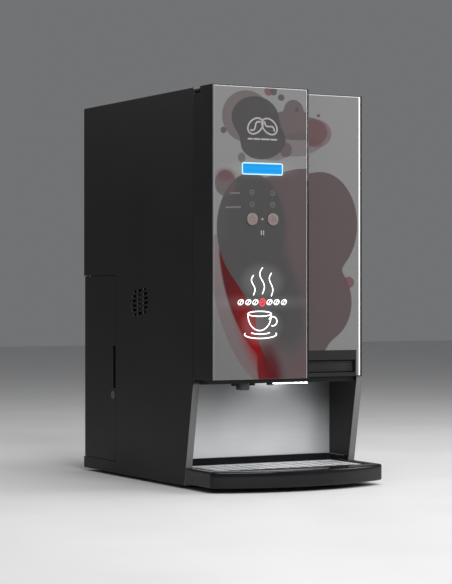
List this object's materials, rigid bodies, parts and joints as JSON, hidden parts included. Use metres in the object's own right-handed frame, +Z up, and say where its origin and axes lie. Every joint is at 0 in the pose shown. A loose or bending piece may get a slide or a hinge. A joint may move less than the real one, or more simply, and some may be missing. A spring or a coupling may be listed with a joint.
{
  "type": "hot coffee vending machine",
  "caption": "Table-top hot drinks vending machine with a thick printed door module, lit display, round keys, open cup bay, bowed drip tray and hinged side cover.",
  "frame": {"origin": "on the surface the feet stand on, under the centre of the whole machine", "axes": "+X to the right seen from the front, +Y towards the back, +Z up; the cup bay and door face -Y"},
  "size_m": [0.372, 0.607, 0.75],
  "materials": {
    "cabinet_paint": "satin",
    "black_gloss": "gloss",
    "printed_glass_left": "gloss, printed behind",
    "printed_glass_right": "gloss, printed behind",
    "stainless": "brushed",
    "zinc_steel": "zinc plated",
    "black_moulding": "matte",
    "foot_rubber": "matte",
    "key_plastic": "gloss",
    "display": "lit",
    "circuit_board": "matte",
    "light_panel": "diffusing",
    "lamp_lens": "diffusing",
    "canister_plastic": "satin",
    "bowl_plastic": "satin",
    "whipper_plastic": "satin",
    "motor_metal": "satin",
    "silicone": "translucent",
    "spout_plastic": "satin",
    "tank_plastic": "satin",
    "insulation": "matte foam",
    "brass_valve": "machined",
    "lock_metal": "polished",
    "supply_case": "satin"
  },
  "bodies": {
    "cabinet": {"base_pan": "zinc_steel", "levelling_feet": "foot_rubber", "left_side_panel": "cabinet_paint", "right_side_panel": "cabinet_paint", "top_cover": "cabinet_paint", "rear_panel": "cabinet_paint", "splash_panel": "stainless", "bay_ceiling": "cabinet_paint", "mixer_plate": "zinc_steel", "canister_shelf": "zinc_steel", "motor_plate": "zinc_steel", "door_hinges": "cabinet_paint", "cover_hinge_pins": "cabinet_paint", "left_canister": "canister_plastic", "middle_canister": "canister_plastic", "right_canister": "canister_plastic", "canister_lids": "canister_plastic", "dosing_motors": "motor_metal", "left_mixing_bowl": "bowl_plastic", "middle_mixing_bowl": "bowl_plastic", "right_mixing_bowl": "bowl_plastic", "whipper_motors": "motor_metal", "spouts": "spout_plastic", "product_hoses": "silicone", "bay_lamp": "lamp_lens", "water_tank": "tank_plastic", "tank_lid": "tank_plastic", "boiler": "insulation", "boiler_stand": "zinc_steel", "water_pump": "motor_metal", "inlet_valve": "brass_valve", "mains_inlet": "black_moulding", "switch_bezel": "black_moulding", "power_supply": "supply_case", "control_board": "circuit_board", "fan_housing": "black_moulding"},
    "door": {"door_shell": "black_gloss", "left_fascia": "printed_glass_left", "display_module": "display", "control_pads": "circuit_board", "sign_light_board": "light_panel", "module_liner": "zinc_steel", "door_leaf": "cabinet_paint", "right_fascia": "printed_glass_right", "pull_housing": "black_moulding"},
    "access_cover": {"access_cover": "cabinet_paint"},
    "cover_lock": {"cover_lock": "lock_metal"},
    "drip_tray": {"drip_tray": "black_gloss"},
    "drip_grille": {"drip_grille": "stainless"},
    "left_key": {"left_key": "key_plastic"},
    "right_key": {"right_key": "key_plastic"},
    "pull_paddle": {"pull_paddle": "black_moulding"},
    "switch_rocker": {"switch_rocker": "black_moulding"},
    "fan_rotor": {"fan_rotor": "black_moulding"},
    "left_auger": {"left_auger": "whipper_plastic"},
    "middle_auger": {"middle_auger": "whipper_plastic"},
    "right_auger": {"right_auger": "whipper_plastic"},
    "left_whipper": {"left_whipper": "whipper_plastic"},
    "middle_whipper": {"middle_whipper": "whipper_plastic"},
    "right_whipper": {"right_whipper": "whipper_plastic"}
  },
  "joints": [
    {"name": "door_swing", "type": "hinge", "parent": "cabinet", "child": "door", "pos_m": [-0.18, -0.2015, 0.478], "axis": [0, 0, -1], "range_deg": [0, 110]},
    {"name": "access_cover_swing", "type": "hinge", "parent": "cabinet", "child": "access_cover", "pos_m": [-0.1795, 0.297, 0.216], "axis": [0, 0, -1], "range_deg": [0, 100]},
    {"name": "cover_lock_turn", "type": "hinge", "parent": "access_cover", "child": "cover_lock", "pos_m": [-0.179, 0.164, 0.162], "axis": [-1, 0, 0], "range_deg": [0, 90]},
    {"name": "drip_tray_slide", "type": "slide", "parent": "cabinet", "child": "drip_tray", "axis": [0, -1, 0], "range_m": [0, 0.25]},
    {"name": "drip_grille_lift", "type": "slide", "parent": "drip_tray", "child": "drip_grille", "axis": [0, 0, 1], "range_m": [0, 0.1]},
    {"name": "left_key_press", "type": "slide", "parent": "door", "child": "left_key", "axis": [0, 1, 0], "range_m": [0, 0.0015], "stiffness_N_per_m": 400},
    {"name": "right_key_press", "type": "slide", "parent": "door", "child": "right_key", "axis": [0, 1, 0], "range_m": [0, 0.0015], "stiffness_N_per_m": 400},
    {"name": "pull_paddle_squeeze", "type": "hinge", "parent": "door", "child": "pull_paddle", "pos_m": [0.1, -0.1835, 0.235], "axis": [1, 0, 0], "range_deg": [0, 25], "stiffness_Nm_per_rad": 0.1},
    {"name": "switch_rock", "type": "hinge", "parent": "cabinet", "child": "switch_rocker", "pos_m": [-0.008, 0.2975, 0.205], "axis": [-1, 0, 0], "range_deg": [0, 14]},
    {"name": "fan_spin", "type": "hinge", "parent": "cabinet", "child": "fan_rotor", "pos_m": [-0.172, 0.0405, 0.35], "axis": [1, 0, 0], "continuous": true},
    {"name": "left_auger_spin", "type": "hinge", "parent": "cabinet", "child": "left_auger", "pos_m": [-0.112, -0.05, 0.483], "axis": [0, -1, 0], "continuous": true},
    {"name": "middle_auger_spin", "type": "hinge", "parent": "cabinet", "child": "middle_auger", "pos_m": [0, -0.05, 0.483], "axis": [0, -1, 0], "continuous": true},
    {"name": "right_auger_spin", "type": "hinge", "parent": "cabinet", "child": "right_auger", "pos_m": [0.112, -0.05, 0.483], "axis": [0, -1, 0], "continuous": true},
    {"name": "left_whipper_spin", "type": "hinge", "parent": "cabinet", "child": "left_whipper", "pos_m": [-0.112, -0.09, 0.32], "axis": [0, -1, 0], "continuous": true},
    {"name": "middle_whipper_spin", "type": "hinge", "parent": "cabinet", "child": "middle_whipper", "pos_m": [0, -0.09, 0.32], "axis": [0, -1, 0], "continuous": true},
    {"name": "right_whipper_spin", "type": "hinge", "parent": "cabinet", "child": "right_whipper", "pos_m": [0.112, -0.09, 0.32], "axis": [0, -1, 0], "continuous": true}
  ]
}
